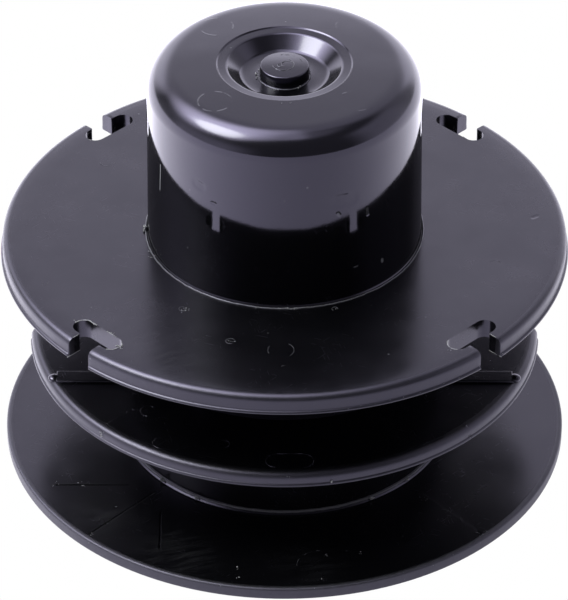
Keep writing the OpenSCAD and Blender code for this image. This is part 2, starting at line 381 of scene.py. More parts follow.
# %% Node group: flow marks
def make_flow():
    group, given, out = new_group("flow marks", "Mask", Centre=(0, 0, 0), Reach=8.0, Turn=(0, 0, 0))
    offset = vectors(group, "SUBTRACT", given["Place"], given["Centre"])
    reach = maths(group, "DIVIDE", vectors(group, "LENGTH", offset), given["Reach"])
    patch = smooth_band(group, reach, 0.2, 1.0)
    along = mapped(group, mapped(group, offset, Rotation=given["Turn"]), Scale=(0.13, 0.9, 0.3))
    shown = ramp(group, cloudy(group, along, 1.0, 4.0, 0.7, 0.6), 0.44, 0.72)
    group.links.new(maths(group, "MULTIPLY", patch, shown), out)
    return group


pin_ring = make_pin_ring()
seam = make_seam()
flow = make_flow()
print("groups:", pin_ring.name, seam.name, flow.name)

# %% [markdown]
# ## Black plastic
# Black nylon is almost black in itself. Its skin mirrors what is near, and under the
# skin fibres and fine dust spread a wide, much weaker sheen. The Principled shader
# has two layers for that: here the main layer is the skin, with a roughness that
# changes from place to place, and the coat is the faint wide sheen. The marks lift
# the roughness and pale the colour, because scraped black plastic turns grey. The
# pale banks of two gaps on the lower flange are a painted highlight.


# %% Material: black plastic with its marks
black = (0.001, 0.001, 0.0015)
scraped = (0.40, 0.40, 0.47, 1)
skin_tint = (0.80, 0.76, 1.0, 1)
sheen_width = 0.42
dust_paleness = 0.15
line_paleness = 0.004
line_roughness = 0.06
rub_depth = 0.03


def plastic(
    name, colour=black, gloss=0.24, sheen=0.03, sink=0.05, ripple=0.002, marks=(), matt_top=None, rim=None,
):
    """Moulded plastic; marks are (group, inputs, paleness, height) for its own faults, and for painted
    highlights.

    matt_top is (height where it starts, height where it is full, added roughness),
    and rim is (radius, width, added roughness, paleness) of a rubbed rim.
    """
    material, tree, surface = new_material(name)
    place = place_in_mm(tree)
    height = place_group(tree, skin, Place=place, Sink=sink, Ripple=ripple)["Height"]
    lines = place_group(tree, hairlines, Place=place)["Mask"]
    dust = place_group(tree, specks, Place=place)["Mask"]
    pale = plus(tree, maths(tree, "MULTIPLY", lines, line_paleness), dust, dust_paleness)
    rough = plus(tree, gloss, lines, line_roughness)
    for group, inputs, paleness, step in marks:
        mask = place_group(tree, group, Place=place, **inputs)["Mask"]
        pale = plus(tree, pale, mask, paleness)
        height = plus(tree, height, mask, step)
    uneven = maths(tree, "SUBTRACT", cloudy(tree, place, 0.09, 5.0, 0.65), 0.5)
    rough = plus(tree, rough, uneven, gloss * 0.9)
    if rim:
        rim_r, width, added, paleness = rim
        out = vectors(tree, "LENGTH", vectors(tree, "MULTIPLY", place, (1, 1, 0)))
        rubbed = smooth_band(tree, maths(tree, "SUBTRACT", rim_r, out), 0.4 * width, width)
        patchy = cloudy(tree, place, 0.8, 5.0, 0.7)
        rough = plus(tree, rough, rubbed, added)
        pale = plus(tree, pale, rubbed, maths(tree, "MULTIPLY", patchy, paleness))
        height = plus(tree, height, maths(tree, "MULTIPLY", rubbed, patchy), rub_depth)
    if matt_top:
        start, full, added = matt_top
        level = add(tree, "SeparateXYZ", Vector=place).outputs[2]
        matt = maths(tree, "SUBTRACT", 1.0, smooth_band(tree, level, start, full))
        rough = plus(tree, rough, matt, added)
    shade = mix_colour(tree, maths(tree, "MINIMUM", pale, 1.0), (*colour, 1), scraped)
    bump = add(tree, "Bump", Height=height, Strength=1.0, Distance=MM).outputs[0]
    finish = add(
        tree, "BsdfPrincipled", Base_Color=shade, Roughness=rough, IOR=1.5,
        Specular_IOR_Level=0.64, Specular_Tint=skin_tint, Coat_Weight=sheen,
        Coat_Roughness=sheen_width, Coat_IOR=1.5, Normal=bump, Coat_Normal=bump,
    )
    tree.links.new(finish.outputs[0], surface)
    return material


def straight(start, end, width, paleness, step):
    """A straight mark between two points; step is how far it rises or, below 0, sinks."""
    return seam, {"Start": start, "End": end, "Width": width}, paleness, step


def clouds_at(x, y, z, reach, turn_deg, paleness):
    """A patch of flow marks round a point, run at an angle."""
    turn = (0, 0, -math.radians(turn_deg))
    return flow, {"Centre": (x, y, z), "Reach": reach, "Turn": turn}, paleness, 0.002


def ring_at(turn_deg, broken, paleness):
    """The ring of an ejector pin on the crown."""
    out = 15.0
    centre = polar(out, turn_deg, crown_level(out))
    return pin_ring, {"Centre": centre, "Radius": 2.6, "Width": 0.17, "Broken": broken}, paleness, 0.01


# Two of the narrow gaps cut into the lower flange below; a painted highlight runs along one bank of each
# here.
level_gap = ((-36.5, -18.9), (-24.6, -18.9))
diagonal_gap = ((-20.4, -20.4), (-30.9, -31.6))


def painted_bank_highlight(gap, aside, width):
    """A painted highlight: a pale line along one bank of a gap of the lower flange."""
    start, end = [(x, y + aside, lower_t) for x, y in gap]
    return straight(start, end, width, 0.02, 0.0)


# %% What each moulding has met, and painted highlights at two gaps
upper_marks = (
    clouds_at(-20.0, -34.0, knob_z, 12.0, 28, 0.022),
    clouds_at(-38.0, -17.0, knob_z, 4.0, 60, -0.004),
    straight((39.4, 2.8, knob_z), (40.0, 3.2, knob_z), 0.5, 0.0, -0.03),
)
nick_turn = -44.6
divider_marks = (
    straight(
        polar(divider_r - 0.1, nick_turn, divider_z + 0.3), polar(divider_r - 0.9, nick_turn, divider_top),
        0.2, 0.0, -0.15,
    ),
)
lower_marks = (
    clouds_at(-30.0, -27.0, lower_t, 10.0, 32, 0.024),
    clouds_at(-17.0, -36.5, lower_t, 9.0, 20, 0.024),
    clouds_at(4.0, -39.0, lower_t, 8.0, 8, 0.012),
    clouds_at(33.0, -18.0, lower_t, 9.0, -20, 0.010),
    straight(polar(30.6, -44, lower_t), polar(44.2, -45.4, lower_t), 0.2, 0.012, 0.012),
    # Painted highlight: a pale line along one bank of each of two gaps.
    painted_bank_highlight(level_gap, 0.2, 0.2),
    painted_bank_highlight(diagonal_gap, -0.2, 0.18),
)
crown_rings = ((225, 0.47, 0.13), (135, 0.48, 0.11), (45, 0.56, 0.07), (315, 0.56, 0.06))
# Each: start and end as (angle, height), width, paleness, and how far it rises.
wall_marks = (
    ((-153.9, 52.6), (-153.2, 57.4), 0.13, 0.8, 0.0),
    ((-67.4, 57.6), (-61.8, 57.4), 1.7, 0.0, -0.05),
    ((-128.6, 58.7), (-126.6, 58.5), 1.2, 0.0, -0.035),
    ((-121.0, 56.3), (-119.8, 56.3), 0.4, 0.0, -0.03),
    ((-67.6, 55.3), (-67.0, 54.9), 0.42, 0.10, -0.02),
    ((-53.9, 54.6), (-53.5, 53.4), 0.40, 0.06, -0.02),
    ((-45.6, 43.6), (-45.4, 43.2), 0.35, 0.25, 0.03),
    ((-60.0, 44.5), (-58.6, 44.5), 0.22, 0.10, 0.0),
)
knob_marks = [ring_at(*ring) for ring in crown_rings]
knob_marks += [straight(on_wall(*start), on_wall(*end), *rest) for start, end, *rest in wall_marks]

# %% The plastics
reel_black = plastic("reel_black")
lower_black = plastic("lower_black", marks=lower_marks, rim=(lower_r, 1.0, 0.28, 0.05))
divider_black = plastic("divider_black", marks=divider_marks, rim=(divider_r, 2.0, 0.16, 0.02))
upper_black = plastic("upper_black", marks=upper_marks, rim=(upper_r, 1.8, 0.13, 0.01))
knob_black = plastic("knob_black", gloss=0.06, sink=0.10, marks=knob_marks, matt_top=(66.0, 67.6, 0.11))
seat_grey = plastic("seat_grey", (0.035, 0.035, 0.04), gloss=0.35, sheen=0.3, sink=0.03)
torn_pale = plastic("torn_pale", (0.22, 0.22, 0.24), gloss=0.45, sheen=0.0, sink=0.03, ripple=0.01)
torn_dark = plastic("torn_dark", (0.07, 0.07, 0.08), gloss=0.3, sheen=0.0, sink=0.03, ripple=0.01)

# %% Material: drawn spring wire
def wire_steel():
    """Bright hard-drawn wire, with fine die lines along it and a trace of oil."""
    material, tree, surface = new_material("spring_steel")
    place = place_in_mm(tree)
    stain = cloudy(tree, place, 0.8, 4.0)
    lines = cloudy(tree, mapped(tree, place, Scale=(1, 1, 9)), 2.0, 3.0)
    shade = mix_colour(tree, stain, (0.42, 0.41, 0.40, 1), (0.60, 0.60, 0.61, 1))
    rough = add(tree, "MapRange", Value=stain, To_Min=0.22, To_Max=0.42).outputs[0]
    bump = add(tree, "Bump", Height=lines, Strength=0.25, Distance=0.1 * MM)
    finish = add(
        tree, "BsdfPrincipled", Base_Color=shade, Metallic=1.0, Roughness=rough,
        Normal=bump.outputs[0],
    )
    tree.links.new(finish.outputs[0], surface)
    return material


spring_steel = wire_steel()
black_ones = (reel_black, lower_black, divider_black, upper_black, knob_black)
print("materials:", [m.name for m in (*black_ones, seat_grey, torn_pale, torn_dark, spring_steel)])

# %% [markdown]
# ## Turned pieces
# Nearly every piece of the reel is round, so one helper makes them: it draws half of
# the section as a chain of points, rounds the corners that ask for it with a vertex
# bevel, and spins the chain about the axis. A corner's round is given as the length
# that it takes off each side.

# %% Helper: spin a section
turn_steps = 192
round_step = 0.28


def round_corner(bm, corner, cut):
    """Round one corner of a chain of edges; cut is what it takes off each side, in mm."""
    if cut > 0:
        bmesh.ops.bevel(
            bm, geom=[corner], offset=cut * MM, offset_type="OFFSET",
            segments=max(3, math.ceil(cut / round_step)), profile=0.5,
            affect="VERTICES", clamp_overlap=False, material=-1,
        )


def turn_about(bm, verts, turn_deg, axis="Z"):
    """Turn corners about an axis of the reel."""
    turn = Matrix.Rotation(math.radians(turn_deg), 3, axis)
    bmesh.ops.rotate(bm, verts=verts, cent=(0, 0, 0), matrix=turn)


def section_chain(bm, outline):
    """Chain of (radius, height, round) corners in the XZ plane, closed unless it ends on the axis."""
    corners = [bm.verts.new((r * MM, 0, z * MM)) for r, z, cut in outline]
    for start, end in zip(corners, corners[1:]):
        bm.edges.new((start, end))
    if outline[0][0] > 0 or outline[-1][0] > 0:
        bm.edges.new((corners[-1], corners[0]))
    for corner, (r, z, cut) in zip(corners, outline):
        round_corner(bm, corner, cut)


def turned(outline, steps=turn_steps):
    """A solid of revolution about Z from half of its section."""
    bm = bmesh.new()
    section_chain(bm, outline)
    bmesh.ops.spin(
        bm, geom=bm.verts[:] + bm.edges[:], cent=(0, 0, 0), axis=(0, 0, 1),
        angle=math.tau, steps=steps, use_merge=True, use_duplicate=False,
    )
    bmesh.ops.remove_doubles(bm, verts=bm.verts[:], dist=0.0005 * MM)
    bmesh.ops.recalc_face_normals(bm, faces=bm.faces[:])
    return bm


# %% Helper: turn a bmesh into a finished piece
def new_object(name, bm):
    """An object of a bmesh, which is used up."""
    mesh = bpy.data.meshes.new(name)
    bm.to_mesh(mesh)
    bm.free()
    made = bpy.data.objects.new(name, mesh)
    bpy.context.scene.collection.objects.link(made)
    return made


def piece(name, bm, material, body="reel", stands_for=()):
    """Make an object of a bmesh, smooth it, give its finish and let it ride on its body."""
    made = new_object(name, bm)
    made.data.materials.append(material)
    made.data.shade_smooth()
    even = made.modifiers.new("even_normals", "WEIGHTED_NORMAL")
    even.keep_sharp = True
    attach(made, body)
    if stands_for:
        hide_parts(*stands_for)
    print(name, len(made.data.polygons), "faces")
    return made


# %% [markdown]
# ## Cutting slots
# The slots and notches are outlines pushed through a flange. The outline is drawn
# once along +X, rounded at its corners, thickened, and copied round the axis; a
# boolean takes it out. The edges that the cut leaves are knife sharp, which no
# mould can do, so they get a small bevel: that thin round is what catches the light.


# %% Helpers: cutter and cut
def cutter(outline, z_low, z_high, turns_deg):
    """Prisms from a plan outline of (x, y, round) corners, copied round the axis."""
    bm = bmesh.new()
    corners = [bm.verts.new((x * MM, y * MM, z_low * MM)) for x, y, cut in outline]
    for i, corner in enumerate(corners):
        bm.edges.new((corner, corners[(i + 1) % len(corners)]))
    for corner, (x, y, cut) in zip(corners, outline):
        round_corner(bm, corner, cut)
    bmesh.ops.remove_doubles(bm, verts=bm.verts[:], dist=0.001 * MM)
    plan = bmesh.ops.contextual_create(bm, geom=bm.edges[:])["faces"]
    raised = bmesh.ops.extrude_face_region(bm, geom=plan)["geom"]
    top = [v for v in raised if isinstance(v, bmesh.types.BMVert)]
    bmesh.ops.translate(bm, vec=(0, 0, (z_high - z_low) * MM), verts=top)
    whole = bm.verts[:] + bm.edges[:] + bm.faces[:]
    for turn in turns_deg[1:]:
        copy = bmesh.ops.duplicate(bm, geom=whole)["geom"]
        verts = [v for v in copy if isinstance(v, bmesh.types.BMVert)]
        turn_about(bm, verts, turn - turns_deg[0])
    turn_about(bm, bm.verts[:], turns_deg[0])
    bmesh.ops.recalc_face_normals(bm, faces=bm.faces[:])
    return bm


def combined(bm, other, operation):
    """Boolean of two bmeshes, by way of two objects that are thrown away; gives a new one."""
    base = new_object("base", bm)
    tool = new_object("tool", other)
    step = base.modifiers.new("boolean", "BOOLEAN")
    step.operation = operation
    step.solver = "EXACT"
    step.object = tool
    bpy.context.view_layer.update()
    shaped = base.evaluated_get(bpy.context.evaluated_depsgraph_get())
    made = bmesh.new()
    made.from_mesh(shaped.to_mesh())
    shaped.to_mesh_clear()
    bpy.data.objects.remove(base)
    bpy.data.objects.remove(tool)
    bmesh.ops.remove_doubles(made, verts=made.verts[:], dist=0.0005 * MM)
    return made


sharp_over = math.radians(40)


def bevel_edges(bm, edges, width, segments):
    """Round some edges; width is in mm."""
    bmesh.ops.bevel(
        bm, geom=edges, offset=width * MM, offset_type="OFFSET", segments=segments,
        profile=0.5, affect="EDGES", clamp_overlap=True, material=-1,
    )


def soften(bm, width, segments=2):
    """Round every edge that is sharp, and give the bmesh back."""
    sharp = [e for e in bm.edges if e.is_manifold and e.calc_face_angle() > sharp_over]
    bevel_edges(bm, sharp, width, segments)
    return bm


# %% [markdown]
# ## The flanges
# A moulded disc has a parting lip: a thin step low on its rim, where the two halves
# of the mould met. Above it the rim draws in a little and rounds over to the top.
# The lower flange is thin and plain, but narrow gaps run over it where inserts of the
# mould met. A gap made by bump alone shines at its banks and never goes dark, so these
# are cut. The divider has a notch at each side, and the upper flange has the four slots
# where the line ends are parked.


# %% Lower flange
lower_section = [
    (core_r, 0, 0), (lower_r, 0, 0.4), (lower_r, lower_t, 0.4),
    (core_r + core_fillet, lower_t, 0), (core_r, lower_t + core_fillet, 0),
]


def insert_gaps():
    """Cutters for the narrow gaps where inserts of the mould met: level, upright and diagonal."""
    depth = 0.6
    bm = bmesh.new()
    for start, end, width in (
        (*level_gap, 0.34), ((-19.6, -25.8), (-19.6, -35.2), 0.3),
        (*diagonal_gap, 0.26), ((30.3, -30.6), (31.0, -31.4), 0.6),
        ((36.5, 18.9), (24.6, 18.9), 0.2), ((19.6, 25.8), (19.6, 35.2), 0.2),
    ):
        start, end = Vector((*start, lower_t)), Vector((*end, lower_t))
        run = end - start
        place = Matrix.Translation((start + end) / 2 * MM)
        turn = Matrix.Rotation(math.atan2(run.y, run.x), 4, "Z")
        size = Matrix.Diagonal((run.length * MM, width * MM, 2 * depth * MM, 1))
        bmesh.ops.create_cube(bm, size=1, matrix=place @ turn @ size)
    return bm


lower_bm = combined(turned(lower_section), insert_gaps(), "DIFFERENCE")
piece("lower_flange_moulding", soften(lower_bm, 0.03), lower_black, stands_for=["lower_flange"])


# %% Rim of the divider and of the upper flange
def lipped_rim(rim_r, z, thickness, lip, top_round):
    """Corners of a rim with a parting lip, from below to the start of the top."""
    face_r = rim_r - lip
    return [
        (rim_r, z, lip_round),
        (rim_r, z + lip_h - lip / 2, lip_round),
        (face_r, z + lip_h, lip_round / 2),
        (face_r, z + thickness, top_round),
    ]


def mouth(rim_r, half, corner, clear):
    """Corners of an opening in a rim, which turns outwards with a round at each side."""
    wide = half + corner + clear
    out = rim_r + 1
    return [
        (rim_r, -half, corner), (rim_r, -wide, 0), (out, -wide, 0),
        (out, wide, 0), (rim_r, wide, 0), (rim_r, half, corner),
    ]


# %% Upper flange with its slots
def slot_outline():
    """One line slot and its way in from the rim, along +X."""
    inner, outer = slot_out - slot_w / 2, slot_out + slot_w / 2
    end, entry = slot_l / 2, slot_way_w / 2
    return [
        (inner, -end, slot_w / 2), (outer, -end, slot_w / 2), (outer, -entry, 0.2),
        *mouth(upper_r, entry, 0.6, 0.1),
        (outer, entry, 0.2), (outer, end, slot_w / 2), (inner, end, slot_w / 2),
    ]


upper_section = [
    (arbor_r, upper_z, 0),
    (core_r, upper_z, 0),
    (core_r, upper_z - core_fillet, 0),
    (core_r + core_fillet, upper_z, 0),
    *lipped_rim(upper_r, upper_z, knob_z - upper_z - rim_fall, upper_lip, rim_round),
    (upper_r - 2.6, knob_z - rim_fall / 3, 0),
    (upper_r - 4.5, knob_z, 0),
    (arbor_r, knob_z, 0),
]
slots = cutter(slot_outline(), upper_z - 1, knob_z + 1, diagonals)
upper_bm = combined(turned(upper_section), slots, "DIFFERENCE")
piece("upper_flange_moulding", soften(upper_bm, 0.2, 3), upper_black, stands_for=["upper_flange"])


# %% Divider with its notches
def notch_outline():
    """One notch at the divider's side, along +X, with round corners at the rim."""
    half, deep = 2.2, 7.0
    bottom = divider_r - deep
    return [(bottom, -half, half), *mouth(divider_r, half, 1.2, 0.2), (bottom, half, half)]


divider_section = [
    (core_r, divider_z - core_fillet, 0),
    (core_r + core_fillet, divider_z, 0),
    *lipped_rim(divider_r, divider_z, divider_t, divider_lip, 1.1),
    (core_r + core_fillet, divider_top, 0),
    (core_r, divider_top + core_fillet, 0),
]
notches = cutter(notch_outline(), divider_z - 1, divider_top + 1, (0, 180))
divider_bm = combined(turned(divider_section), notches, "DIFFERENCE")
piece("divider_flange_moulding", soften(divider_bm, 0.2, 3), divider_black, stands_for=["divider_flange"])


# %% Ribs on the divider, each ending in a round bead at the rim
def divider_ribs():
    """Four low straight ribs, two at each side of the core, with their beads."""
    offset, width, height, bead_r = 15.7, 2.8, 0.4, 0.95
    start, end = 19.5, 36.0
    bm = bmesh.new()
    for side in (-1, 1):
        for across in (-1, 1):
            middle = Vector((side * (start + end) / 2, across * offset, divider_top))
            size = Matrix.Diagonal(((end - start) * MM, width * MM, 2 * height * MM, 1))
            bar = bmesh.ops.create_cube(bm, size=1, matrix=Matrix.Translation(middle * MM) @ size)
            upper = {v for v in bar["verts"] if v.co.z > divider_top * MM}
            bevel_edges(bm, [e for e in bm.edges if upper.issuperset(e.verts)], 0.22, 3)
            place = Vector((side * (end + 0.3), across * offset, divider_top)) * MM
            flat = Matrix.Diagonal((1, 1, 0.55, 1))
            bmesh.ops.create_icosphere(
                bm, subdivisions=3, radius=bead_r * MM, matrix=Matrix.Translation(place) @ flat,
            )
    return bm


piece("divider_ribs_moulding", divider_ribs(), reel_black)

# %% [markdown]
# ## The core and the knob
# The core is a plain tube. The knob is a deep cup: a drafted wall, a rounded crown,
# and in its middle a dish with the gate stud, where the plastic came in.

# %% Core
core_section = [
    (core_bore_r, 0, 0.2), (core_r, 0, 0.2), (core_r, upper_z, 0), (core_bore_r, upper_z, 0.2),
]
piece("winding_core_moulding", turned(core_section), reel_black, stands_for=["winding_core"])


# %% Knob
def knob_section():
    """Half of the knob's section, from the middle of its ceiling out and round to the stud's top."""
    ceiling = crown_z - crown_wall
    boss_z = dish_z - crown_wall
    boss_r = dish_floor_r + crown_wall
    wall_to_crown = math.radians(93.4)
    crown_cut = crown_round * math.tan((math.pi - wall_to_crown) / 2)
    dome = [16.6, 15.6, 14.4, 13.2, 12, 11, crown_inner_r + 0.06]
    return [
        (0, boss_z, 0),
        (boss_r, boss_z, 0.4),
        (boss_r, ceiling, 0.4),
        (chamber_r, ceiling, chamber_round),
        (chamber_r, knob_z, 0.15),
        (foot_r, knob_z, 0),
        (knob_r, knob_z + foot_r - knob_r, 0.15),
        (crown_r, crown_z - crown_fall, crown_cut),
        *[(r, crown_level(r), 0) for r in dome],
        (crown_inner_r, crown_z, 0.05),
        (10.35, ring_z, 0.11),
        (9.0, ring_z, 0.3),
        (dish_floor_r, dish_z, 0.55),
        (stud_r, dish_z, 0.1),
        (stud_r, stud_z, 0.22),
        (0, stud_z, 0),
    ]


piece("bump_knob_moulding", turned(knob_section()), knob_black, stands_for=["bump_knob"])

# %% [markdown]
# ## Inside: index rings, spring seat and spring
# Two rings of ramped lugs sit in the core's bore, and the spring seat rides in the
# knob under the spring. They show only from below. The rings are copies of the
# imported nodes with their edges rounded; the seat is turned like the rest.


# %% Index rings
def softened_copy(node, width):
    """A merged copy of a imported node's mesh with its sharp edges rounded."""
    bm = bmesh.new()
    bm.from_mesh(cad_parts[node].data)
    bmesh.ops.remove_doubles(bm, verts=bm.verts[:], dist=0.001 * MM)
    bmesh.ops.dissolve_limit(
        bm, angle_limit=math.radians(1), verts=bm.verts[:], edges=bm.edges[:],
    )
    return soften(bm, width)


for level in ("lower", "upper"):
    node = level + "_index_ring"
    piece(node + "_moulding", softened_copy(node, 0.15), reel_black, stands_for=[node])

# %% Spring seat
seat_z = low("spring_seat")
seat_rim_z = seat_z + 2.2
seat_top_z = seat_z + 9
seat_bore_r = 10.5
collar_r = 12.5
seat_section = [
    (seat_bore_r, seat_z, 0.3), (seat_r, seat_z, 0.3), (seat_r, seat_rim_z, 0.3),
    (collar_r, seat_rim_z, 0.3), (collar_r, seat_top_z, 0.4), (seat_bore_r, seat_top_z, 0.4),
]
piece(
    "spring_seat_moulding", turned(seat_section, 128), seat_grey, "seat",
    stands_for=["spring_seat"],
)


# %% Spring
def coil():
    """Wire wound by a spin that climbs: a close turn, four open turns, a close turn."""
    wire_r = 0.8
    coil_r = 14.2
    close_pitch = 2.2
    turns = 6
    foot = low("spring") + wire_r
    rise = high("spring") - wire_r - foot
    open_pitch = (rise - 2 * close_pitch) / (turns - 2)
    per_turn = 48
    bm = bmesh.new()
    ring = bmesh.ops.create_circle(bm, segments=12, radius=wire_r * MM)["verts"]
    turn_about(bm, ring, 90, "X")
    bmesh.ops.translate(bm, verts=ring, vec=(coil_r * MM, 0, foot * MM))
    end = ring + bm.edges[:]
    bmesh.ops.contextual_create(bm, geom=bm.edges[:])
    for count, pitch in ((1, close_pitch), (turns - 2, open_pitch), (1, close_pitch)):
        end = bmesh.ops.spin(
            bm, geom=end, cent=(0, 0, 0), axis=(0, 0, 1), dvec=(0, 0, pitch * MM / per_turn),
            angle=math.tau * count, steps=per_turn * count, use_merge=False, use_duplicate=False,
        )["geom_last"]
    bmesh.ops.contextual_create(bm, geom=[e for e in end if isinstance(e, bmesh.types.BMEdge)])
    bmesh.ops.recalc_face_normals(bm, faces=bm.faces[:])
    return bm


spring = piece("spring_coil", coil(), spring_steel, stands_for=["spring"])
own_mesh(spring)

# %% [markdown]
# ## Flash, witness lines and chips
# Where two parts of the mould meet, molten plastic creeps into the gap and sets as
# flash: a thin fin that tears off pale. Here the side parts of the mould met on four
# diagonals, so a fine raised line runs up the core, over the divider and down its rim
# there. Ejector pins and small inserts leave rings and curls. Each of these is a bead:
# a small round section drawn along an arc or a straight run, half sunk in its surface.
# Torn bits that stay behind are crumbs: tiny balls with their corners pushed about.


# %% Helpers: beads and crumbs
def arc_bead(bm, centre, bend, thickness, start=0, turn=360):
    """Bead along a level arc; centre, bend radius and thickness in mm, start and turn in degrees."""
    section = bmesh.ops.create_circle(bm, segments=6, radius=thickness / 2 * MM)["verts"]
    edges = [e for e in bm.edges if set(section).issuperset(e.verts)]
    turn_about(bm, section, 90, "X")
    bmesh.ops.translate(bm, verts=section, vec=(bend * MM, 0, 0))
    turn_about(bm, section, start)
    bmesh.ops.translate(bm, verts=section, vec=Vector(centre) * MM)
    bmesh.ops.spin(
        bm, geom=section + edges, cent=Vector(centre) * MM, axis=(0, 0, 1), angle=math.radians(turn),
        steps=max(6, math.ceil(abs(turn) * bend / 25)), use_merge=turn == 360, use_duplicate=False,
    )


def line_bead(bm, start, end, thickness):
    """Bead along a straight run, in mm."""
    start, end = Vector(start) * MM, Vector(end) * MM
    turn = (end - start).to_track_quat("Z", "Y").to_matrix().to_4x4()
    bmesh.ops.create_cone(
        bm, cap_ends=True, segments=6, radius1=thickness / 2 * MM, radius2=thickness / 2 * MM,
        depth=(end - start).length, matrix=Matrix.Translation((start + end) / 2) @ turn,
    )


def curls(bm, z, rows):
    """Beads along arcs at one height; each row is (x, y, bend, start, turn, thickness)."""
    for x, y, bend, start, turn, thickness in rows:
        arc_bead(bm, (x, y, z), bend, thickness, start, turn)


chance = random.Random(11)


def crumbs(bm, centre, spread, count, size):
    """A few torn bits around a centre; spread is the half reach along X, Y and Z, in mm."""
    for _ in range(count):
        offset = Vector([chance.uniform(-reach, reach) for reach in spread])
        place = Matrix.Translation((Vector(centre) + offset) * MM)
        shape = Matrix.Diagonal([chance.uniform(0.4, 1.3) for _ in range(3)]).to_4x4()
        bit = bmesh.ops.create_icosphere(
            bm, subdivisions=1, radius=size / 2 * chance.uniform(0.5, 1.2) * MM, matrix=place @ shape,
        )
        for corner in bit["verts"]:
            corner.co += Vector([chance.uniform(-0.15, 0.15) * size * MM for _ in range(3)])


noise.seed_set(11)  # without a seed, this noise is another one on every run


def roughen(bm, amount, scale=1.5):
    """Shift every corner a little by a noise of its place, in mm."""
    for corner in bm.verts:
        corner.co += noise.noise_vector(corner.co / MM * scale) * amount * MM


# %% Flash lines on the four diagonals
def parting_lines():
    """One run over the divider's top, one down its rim and two up the core, on each diagonal."""
    line = 0.09
    bm = bmesh.new()
    for turn in diagonals:
        for r1, z1, r2, z2, thickness in (
            (30.5, divider_top, divider_r - 1.4, divider_top, 0.05),
            (divider_r - 0.15, divider_z + 0.7, divider_r - 0.45, divider_top - 0.7, line),
            (core_r, lower_t + 0.5, core_r, divider_z - 0.6, line),
            (core_r, divider_top + 0.6, core_r, upper_z - 0.6, line),
        ):
            line_bead(bm, polar(r1, turn, z1), polar(r2, turn, z2), thickness)
    return bm


piece("parting_lines", parting_lines(), reel_black)


# %% Flash ring at the knob's foot and at the drum's foot
def foot_flash():
    bm = bmesh.new()
    arc_bead(bm, (0, 0, knob_z + 0.06), foot_r, 0.26)
    arc_bead(bm, (0, 0, lower_t + core_fillet * 0.7), core_r + core_fillet * 0.35, 0.5)
    roughen(bm, 0.07)
    return bm


piece("foot_flash", foot_flash(), torn_dark)


# %% Rings and curls of pins and inserts
def small_rings():
    thin = 0.06
    bm = bmesh.new()
    curls(bm, knob_z, (
        (-0.54, -32.6, 2.0, -45, 100, thin), (-0.54, -32.6, 2.0, 150, 55, thin),
        (-8.3, -30.3, 0.7, 30, 260, thin), (-15.7, -21.9, 0.6, 80, 200, thin),
        (-28.6, 18.6, 1.2, 190, 160, thin), (7.8, -21.9, 0.5, 0, 240, thin),
        (20.5, 30.5, 1.1, 200, 150, thin), (33.0, -10.0, 1.0, 20, 120, thin),
    ))
    curls(bm, lower_t - 0.02, [(5.5, -39.2, 3.6, 90, 90, 0.05)])
    roughen(bm, 0.05, 3.0)
    return bm


piece("small_rings", small_rings(), torn_dark)


# %% Fainter rings on the divider
def divider_rings():
    thin = 0.1
    bm = bmesh.new()
    curls(bm, divider_top, (
        (-21.2, -24.4, 1.3, 50, 220, thin), (-24.0, -24.6, 0.7, 20, 190, thin),
        (-19.0, -32.5, 1.4, 90, 190, thin), (-9.4, -32.8, 0.9, -80, 190, thin),
        (-1.2, -37.0, 1.7, 95, 170, thin), (2.8, -37.0, 1.7, -85, 170, thin),
    ))
    line_bead(bm, (-1.2, -35.3, divider_top), (2.8, -35.3, divider_top), thin)
    roughen(bm, 0.07, 3.0)
    return bm


piece("divider_rings", divider_rings(), reel_black)


# %% Scar of the gate on the stud, where the runner was broken off
def gate_scar():
    bm = bmesh.new()
    curls(bm, stud_z, (
        (-0.2, 0.1, 1.7, 190, 230, 0.12), (0.5, 0.1, 1.0, 10, 200, 0.12),
        (-0.6, -0.2, 0.5, 100, 250, 0.1), (0, 0, 2.9, 20, 80, 0.05),
    ))
    arc_bead(bm, (0, 0, dish_z + 0.03), stud_r + 0.25, 0.14)
    roughen(bm, 0.09, 2.0)
    return bm


piece("gate_scar", gate_scar(), torn_dark)


# %% Torn flash at the slots, the rims and the feet
def at_slot(turn_deg, out, along, z):
    """A point near a slot, from how far out it is and how far along the slot."""
    return Matrix.Rotation(math.radians(turn_deg), 3, "Z") @ Vector((out, along, z))


slot_half = slot_w / 2
slot_run = slot_l / 2 - slot_half
edge_z = knob_z - 0.04


def slot_flash(bm):
    """Torn beads round the slots' ends, along the near slot and in the ways in."""
    for turn, along, start, sweep, thickness in (
        (225, -slot_run, 150, 130, 0.16), (225, slot_run, 20, 120, 0.14),
        (315, -slot_run, 200, 110, 0.13), (135, slot_run, 90, 90, 0.09), (45, -slot_run, 150, 90, 0.1),
    ):
        centre = at_slot(turn, slot_out, along, edge_z)
        arc_bead(bm, centre, slot_half + 0.02, thickness, turn + start, sweep)
    inner = slot_out - slot_half
    for start, end, thickness in ((-slot_run, -slot_run + 1.2, 0.14), (0.4, 2.6, 0.12)):
        line_bead(bm, at_slot(225, inner, start, edge_z), at_slot(225, inner, end, edge_z), thickness)
    wall = slot_way_w / 2 + 0.02
    outer = slot_out + slot_half + 0.1
    for turn, side in ((315, wall), (225, -wall)):
        for z, out in ((upper_z + 0.04, upper_r - 0.1), (knob_z - 0.1, upper_r - 1.4)):
            line_bead(bm, at_slot(turn, outer, side, z), at_slot(turn, out, side, z), 0.12)


def crumbs_round(bm, turns, out, z, spread, count, size):
    """The same few crumbs at each of several angles."""
    for turn in turns:
        crumbs(bm, polar(out, turn, z), spread, count, size)


